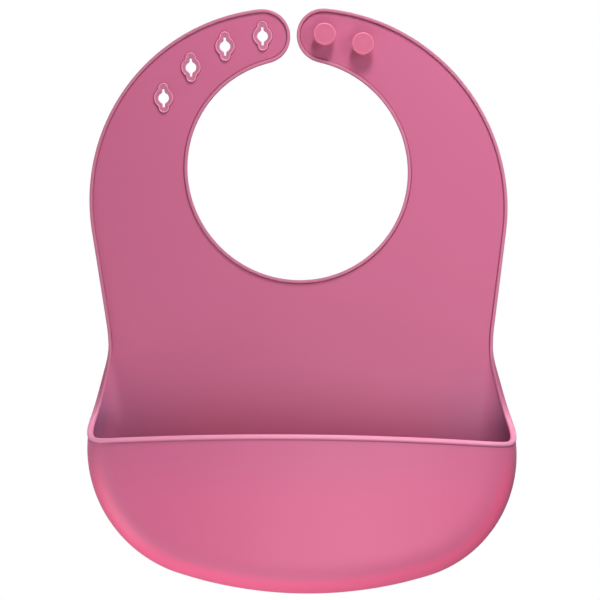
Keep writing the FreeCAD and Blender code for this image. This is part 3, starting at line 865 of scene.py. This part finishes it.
# painted highlights: the colours that the bead, the lips and the stud's cap take on their crests
BEAD_TONES = [("painted_light", (1.0, 0.36, 0.56))]
STUD_TONES = [("painted_light", (0.94, 0.24, 0.40))]
DRIFT = (0.95, 0.93, 0.94)
DRIFT_SCALE, GRAIN_SCALE, RIPPLE_SCALE = 14.0, 2600.0, 45.0
RIPPLE_SHARE = 6.0
BUMP_STRENGTH, BUMP_DISTANCE = 0.12, 0.00012
GLOSS_DRIFT = 0.06
SPECULAR = 0.35
SHEET_ROUGHNESS, BEAD_ROUGHNESS = 0.46, 0.36

# the pocket's middle, and where its painted glow and painted shade fade in: from none to full, in
# millimetres or in parts
# of a unit normal
POCKET_MIDDLE = (0, 0, RIM_Z + 10)
FRONT_Y = (-20, -30)
OUTSIDE_TURN = (0.0, 0.3)
EDGE_ON_TURN = (0.995, 0.7)
FLAT_PAINTED_GLOW = 0.25
PAINTED_GLOW_Z = (RIM_Z + 6, RIM_Z - 30)
PAINTED_SHADE_X = (45, 100)
PAINTED_SHADE_SHARE = 0.45
SIDE_TURN = (0.3, 0.8)
PAINTED_SHADE_Z = (WAIST_Z - 4, RIM_Z + 8)
SCOOP_Y = -0.5


def noise(nodes, links, coords, scale, detail=2.0):
    """The output of a noise texture in the object's own space."""
    texture = nodes.new("ShaderNodeTexNoise")
    texture.inputs["Scale"].default_value = scale
    texture.inputs["Detail"].default_value = detail
    links.new(coords.outputs["Object"], texture.inputs["Vector"])
    return texture.outputs["Fac"]


def blend_colour(nodes, links, share, first, second):
    """A mix of two colours, each a plain colour or the output of a node."""
    mix = nodes.new("ShaderNodeMix")
    mix.data_type = "RGBA"
    links.new(share, mix.inputs["Factor"])
    for name, colour in (("A", first), ("B", second)):
        if isinstance(colour, tuple):
            mix.inputs[name].default_value = (*colour, 1.0)
        else:
            links.new(colour, mix.inputs[name])
    return mix.outputs["Result"]


def silicone(name, colour, roughness, tones=()):
    """Moulded silicone: a faint drift of colour, a fine matte grain and shallow ripples.

    Each of the tones is the name of a mesh attribute and the colour that its rise brings: painted light or
    painted shade.
    """
    material = bpy.data.materials.new(name)
    material.use_nodes = True
    nodes, links = material.node_tree.nodes, material.node_tree.links
    shader = nodes["Principled BSDF"]
    coords = nodes.new("ShaderNodeTexCoord")

    shade = tuple(c * f for c, f in zip(colour, DRIFT))
    tone = blend_colour(nodes, links, noise(nodes, links, coords, DRIFT_SCALE, 3.0), colour, shade)
    for attribute, fuller in tones:
        source = nodes.new("ShaderNodeAttribute")
        source.attribute_name = attribute
        tone = blend_colour(nodes, links, source.outputs["Fac"], tone, fuller)
    links.new(tone, shader.inputs["Base Color"])

    grain = noise(nodes, links, coords, GRAIN_SCALE)
    gloss = nodes.new("ShaderNodeMapRange")
    gloss.inputs["To Min"].default_value = roughness - GLOSS_DRIFT
    gloss.inputs["To Max"].default_value = roughness + GLOSS_DRIFT
    links.new(grain, gloss.inputs["Value"])
    links.new(gloss.outputs["Result"], shader.inputs["Roughness"])

    heights = nodes.new("ShaderNodeMath")
    heights.operation = "MULTIPLY_ADD"
    heights.inputs[1].default_value = RIPPLE_SHARE
    links.new(noise(nodes, links, coords, RIPPLE_SCALE), heights.inputs[0])
    links.new(grain, heights.inputs[2])
    bump = nodes.new("ShaderNodeBump")
    bump.inputs["Strength"].default_value = BUMP_STRENGTH
    bump.inputs["Distance"].default_value = BUMP_DISTANCE
    links.new(heights.outputs["Value"], bump.inputs["Height"])
    links.new(bump.outputs["Normal"], shader.inputs["Normal"])
    shader.inputs["Specular IOR Level"].default_value = SPECULAR
    return material


def mark_pocket(item):
    """Store two shares per point: a painted glow on the pocket's outside and painted shade on its inside.

    The painted glow rises where the outside turns edge-on, above an even share over the whole outside, and
    the painted shade rises towards the inside's corners.
    """
    mesh = item.data
    normals = np.zeros(len(mesh.vertices) * 3)
    mesh.vertex_normals.foreach_get("vector", normals)
    places = np.zeros(len(mesh.vertices) * 3)
    mesh.vertices.foreach_get("co", places)
    normals, places = normals.reshape(-1, 3), places.reshape(-1, 3) / MM
    outward = places - POCKET_MIDDLE
    outward[:, 1] = 0
    outward /= np.maximum(np.linalg.norm(outward, axis=1, keepdims=True), 1e-9)
    front = smooth(*FRONT_Y, places[:, 1])
    outside = smooth(*OUTSIDE_TURN, (outward * normals).sum(1) - front * normals[:, 1])
    edge_on = np.maximum(smooth(*EDGE_ON_TURN, -normals[:, 1]), FLAT_PAINTED_GLOW)
    painted_glow = edge_on * front * outside * smooth(*PAINTED_GLOW_Z, places[:, 2])
    # painted shade, strongest towards the inside's corners and sides
    towards_side = PAINTED_SHADE_SHARE * smooth(*PAINTED_SHADE_X, np.abs(places[:, 0]))
    corner = np.maximum(towards_side, smooth(*SIDE_TURN, np.abs(normals[:, 0])))
    inside = (1 - outside) * (places[:, 1] < SCOOP_Y)
    painted_shade = corner * smooth(*PAINTED_SHADE_Z, places[:, 2]) * inside
    for name, values in (("painted_glow", painted_glow), ("painted_shade", painted_shade)):
        layer = mesh.attributes.new(name, "FLOAT", "POINT")
        layer.data.foreach_set("value", values.astype(np.float32))


# ---- the stage: floor, light and camera -----------------------------------------------------

# each lamp's place, size and power in watts
LAMPS = {
    "key": ((0.09, -0.3, 0.52), 0.17, 2.6),
    "low": ((0.06, -0.3, -0.2), 0.2, 0.34),
    "right": ((0.3, -0.25, 0.1), 0.2, 0.42),
    "below": ((-0.04, -0.17, -0.42), 0.25, 0.2),
    "low_right": ((0.45, -0.1, -0.45), 0.3, 0.12),
    "low_left": ((-0.5, -0.1, -0.4), 0.3, 1.2),
}
AIM = (0, 0, -0.08)
# how much light comes from each side of the studio
SIDE_LIGHT = {
    (0, -1, 0): 0.0, (0, 1, 0): 1.3, (0, 0, 1): 0.25,
    (0, 0, -1): 1.0, (-1, 0, 0): 0.4, (1, 0, 0): 0.1,
}
# the floor: how far it is under the bib, its radius and finish, where it fades to white from how
# much, and the light it gives off
FLOOR_DROP = 0.45
FLOOR_R = 9.0
FLOOR_COLOUR, FLOOR_ROUGHNESS = (0.85, 0.85, 0.86), 0.9
FLOOR_FADE = (0.25, 1.2)
FLOOR_WHITE = 0.5
FLOOR_LIGHT = 0.12
# the camera's lens in millimetres, its distance, and how far it is off the bib's middle
LENS = 130.4
CAMERA_Y = -1.1
CAMERA_OFF = (0.0007, -0.0012)


def white_world():
    """A plain white backdrop, and the softer, uneven light that its sides give."""
    world = bpy.data.worlds.new("studio")
    bpy.context.scene.world = world
    world.use_nodes = True
    nodes, links = world.node_tree.nodes, world.node_tree.links
    coords = nodes.new("ShaderNodeTexCoord")
    total = None
    for side, strength in SIDE_LIGHT.items():
        facing = nodes.new("ShaderNodeVectorMath")
        facing.operation = "DOT_PRODUCT"
        facing.inputs[1].default_value = side
        links.new(coords.outputs["Generated"], facing.inputs[0])
        ahead = nodes.new("ShaderNodeMath")
        ahead.operation = "MAXIMUM"
        ahead.inputs[1].default_value = 0.0
        links.new(facing.outputs["Value"], ahead.inputs[0])
        squared = nodes.new("ShaderNodeMath")
        squared.operation = "MULTIPLY"
        links.new(ahead.outputs["Value"], squared.inputs[0])
        links.new(ahead.outputs["Value"], squared.inputs[1])
        added = nodes.new("ShaderNodeMath")
        added.operation = "MULTIPLY_ADD"
        added.inputs[1].default_value = strength
        added.inputs[2].default_value = 0.0
        links.new(squared.outputs["Value"], added.inputs[0])
        if total:
            links.new(total, added.inputs[2])
        total = added.outputs["Value"]
    light = nodes["Background"]
    light.inputs["Color"].default_value = (1, 1, 1, 1)
    links.new(total, light.inputs["Strength"])
    seen = nodes.new("ShaderNodeBackground")
    seen.inputs["Color"].default_value = (1, 1, 1, 1)
    ray = nodes.new("ShaderNodeLightPath")
    mixed = nodes.new("ShaderNodeMixShader")
    links.new(ray.outputs["Is Camera Ray"], mixed.inputs["Fac"])
    links.new(light.outputs["Background"], mixed.inputs[1])
    links.new(seen.outputs["Background"], mixed.inputs[2])
    links.new(mixed.outputs["Shader"], nodes["World Output"].inputs["Surface"])


def white_floor(height):
    """A wide pale floor that fades into the white backdrop away from the bib."""
    bm = bmesh.new()
    bmesh.ops.create_circle(bm, cap_ends=True, radius=FLOOR_R, segments=96)
    mesh = bpy.data.meshes.new("floor")
    bm.to_mesh(mesh)
    bm.free()
    floor = new_object("floor", mesh)
    floor.location = (0, 0, height)
    material = bpy.data.materials.new("floor_white")
    material.use_nodes = True
    nodes, links = material.node_tree.nodes, material.node_tree.links
    shader = nodes["Principled BSDF"]
    shader.inputs["Base Color"].default_value = (*FLOOR_COLOUR, 1)
    shader.inputs["Roughness"].default_value = FLOOR_ROUGHNESS
    coords = nodes.new("ShaderNodeTexCoord")
    reach = nodes.new("ShaderNodeVectorMath")
    reach.operation = "LENGTH"
    links.new(coords.outputs["Object"], reach.inputs[0])
    fade = nodes.new("ShaderNodeMapRange")
    fade.interpolation_type = "SMOOTHSTEP"
    fade.inputs["From Min"].default_value = FLOOR_FADE[0]
    fade.inputs["From Max"].default_value = FLOOR_FADE[1]
    fade.inputs["To Min"].default_value = FLOOR_WHITE
    links.new(reach.outputs["Value"], fade.inputs["Value"])
    glow = nodes.new("ShaderNodeEmission")
    glow.inputs["Color"].default_value = (1, 1, 1, 1)
    ray = nodes.new("ShaderNodeLightPath")
    strength = nodes.new("ShaderNodeMapRange")
    strength.inputs["To Min"].default_value = FLOOR_LIGHT
    links.new(ray.outputs["Is Camera Ray"], strength.inputs["Value"])
    links.new(strength.outputs["Result"], glow.inputs["Strength"])
    mixed = nodes.new("ShaderNodeMixShader")
    links.new(fade.outputs["Result"], mixed.inputs["Fac"])
    links.new(shader.outputs["BSDF"], mixed.inputs[1])
    links.new(glow.outputs["Emission"], mixed.inputs[2])
    links.new(mixed.outputs["Shader"], nodes["Material Output"].inputs["Surface"])
    floor.data.materials.append(material)


def stage():
    """The floor under the hanging bib, soft light and the camera."""
    low, high = cad_box
    white_world()
    white_floor(low[2] - FLOOR_DROP)
    bpy.context.scene.view_settings.view_transform = "Standard"
    for name, (place, size, power) in LAMPS.items():
        light = bpy.data.lights.new(name, "AREA")
        light.size = size
        light.energy = power
        lamp = new_object(name, light)
        lamp.visible_camera = False
        lamp.location = place
        lamp.rotation_mode = "QUATERNION"
        lamp.rotation_quaternion = (Vector(AIM) - Vector(place)).to_track_quat("-Z", "Y")

    lens = bpy.data.cameras.new("camera")
    lens.sensor_width = 36.0
    lens.lens = LENS
    camera = new_object("camera", lens)
    camera.location = (CAMERA_OFF[0], CAMERA_Y, (low[2] + high[2]) / 2 + CAMERA_OFF[1])
    camera.rotation_euler = (math.radians(90), 0, 0)
    bpy.context.scene.camera = camera


# ---- the bib --------------------------------------------------------------------------------

stage()
sheet_silicone = silicone("silicone_pink", PINK, SHEET_ROUGHNESS, SHEET_TONES)
bead_silicone = silicone("silicone_bead", BEAD_SHADE_PINK, BEAD_ROUGHNESS, BEAD_TONES)
stud_silicone = silicone("silicone_stud", STUD_SHADE_PINK, BEAD_ROUGHNESS, STUD_TONES)

patches, edge_line, edge_normals = outside_surface()
sheet_bm = slab(*weld(patches))
bead_bm = bead(edge_line, edge_normals)
for name, (planes, bodies, ends, sheet_nodes, bead_nodes) in regions().items():
    for kind, whole, nodes, material in (
        ("sheet", sheet_bm, sheet_nodes, sheet_silicone),
        ("bead", bead_bm, bead_nodes, bead_silicone),
    ):
        piece = finished(f"{name}_{kind}", carve(whole, planes))
        if kind == "sheet":
            mark_pocket(piece)
        place_piece(piece, nodes, material)
sheet_bm.free()
bead_bm.free()

for number, spot in enumerate(eyelet_spots(), start=1):
    ring = lip(number, spot)
    ring.data.materials.append(bead_silicone)
    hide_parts(f"eyelet_lip_{number}")
    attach(ring, "left_tip" if number <= 2 else "left_strap")
for number, spot in enumerate(eyelet_spots()[:2], start=1):
    button = stud(number, spot * (-1, 1))
    button.data.materials.append(stud_silicone)
    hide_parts(f"stud_{number}")
    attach(button, "right_tip")
